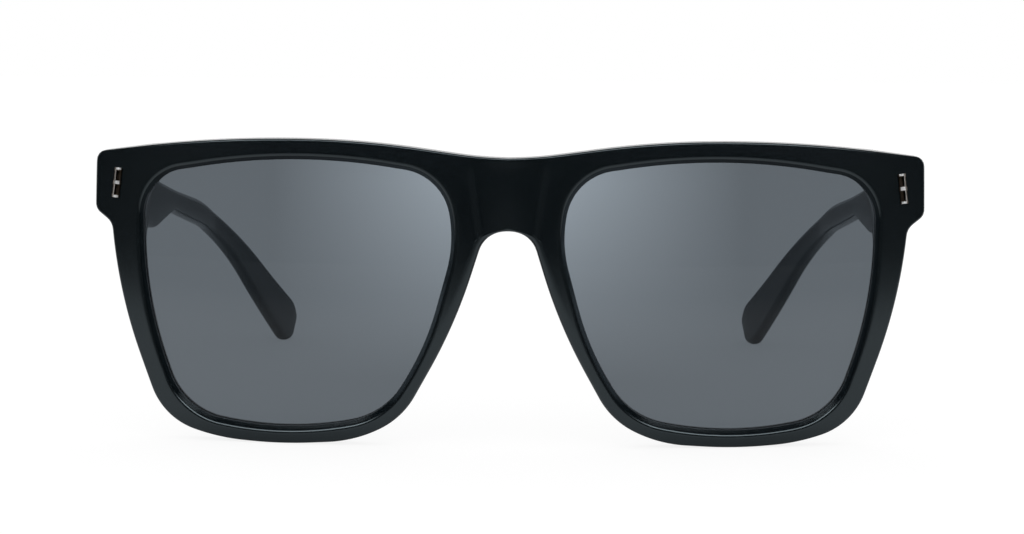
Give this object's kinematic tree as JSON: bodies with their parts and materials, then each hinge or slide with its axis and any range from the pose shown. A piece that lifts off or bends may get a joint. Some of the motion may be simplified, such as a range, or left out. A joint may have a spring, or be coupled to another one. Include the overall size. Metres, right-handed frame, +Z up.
{
  "type": "sunglasses",
  "caption": "Full-rim acetate sunglasses with curved tinted lenses, bar rivets, glued nose pads and temples that fold on five-knuckle hinges.",
  "frame": {"origin": "bottom centre of the overall box, on the surface that the rim bottoms and temple tips rest on", "axes": "+X towards the wearer's left temple, +Z up, and the front faces -Y"},
  "size_m": [0.15, 0.145, 0.0548],
  "materials": {
    "black_acetate": "satin",
    "pad_acetate": "satin",
    "grey_lens": "polished",
    "hinge_steel": "satin",
    "screw_steel": "polished",
    "core_wire": "drawn",
    "rivet_chrome": "polished"
  },
  "bodies": {
    "front": {"front_frame": "black_acetate", "left_lens": "grey_lens", "right_lens": "grey_lens", "left_nose_pad": "pad_acetate", "right_nose_pad": "pad_acetate", "left_front_leaf": "hinge_steel", "right_front_leaf": "hinge_steel", "left_bar_rivet": "rivet_chrome", "right_bar_rivet": "rivet_chrome", "left_hinge_screw": "screw_steel", "right_hinge_screw": "screw_steel"},
    "left_arm": {"left_temple": "black_acetate", "left_temple_leaf": "hinge_steel", "left_core_wire": "core_wire", "left_leaf_screws": "screw_steel"},
    "right_arm": {"right_temple": "black_acetate", "right_temple_leaf": "hinge_steel", "right_core_wire": "core_wire", "right_leaf_screws": "screw_steel"}
  },
  "joints": [
    {"name": "left_hinge", "type": "hinge", "parent": "front", "child": "left_arm", "pos_m": [0.0683, -0.05515, 0.0446], "axis": [0, 0, 1], "range_deg": [0, 85]},
    {"name": "right_hinge", "type": "hinge", "parent": "front", "child": "right_arm", "pos_m": [-0.0683, -0.05515, 0.0446], "axis": [0, 0, -1], "range_deg": [0, 80]}
  ]
}
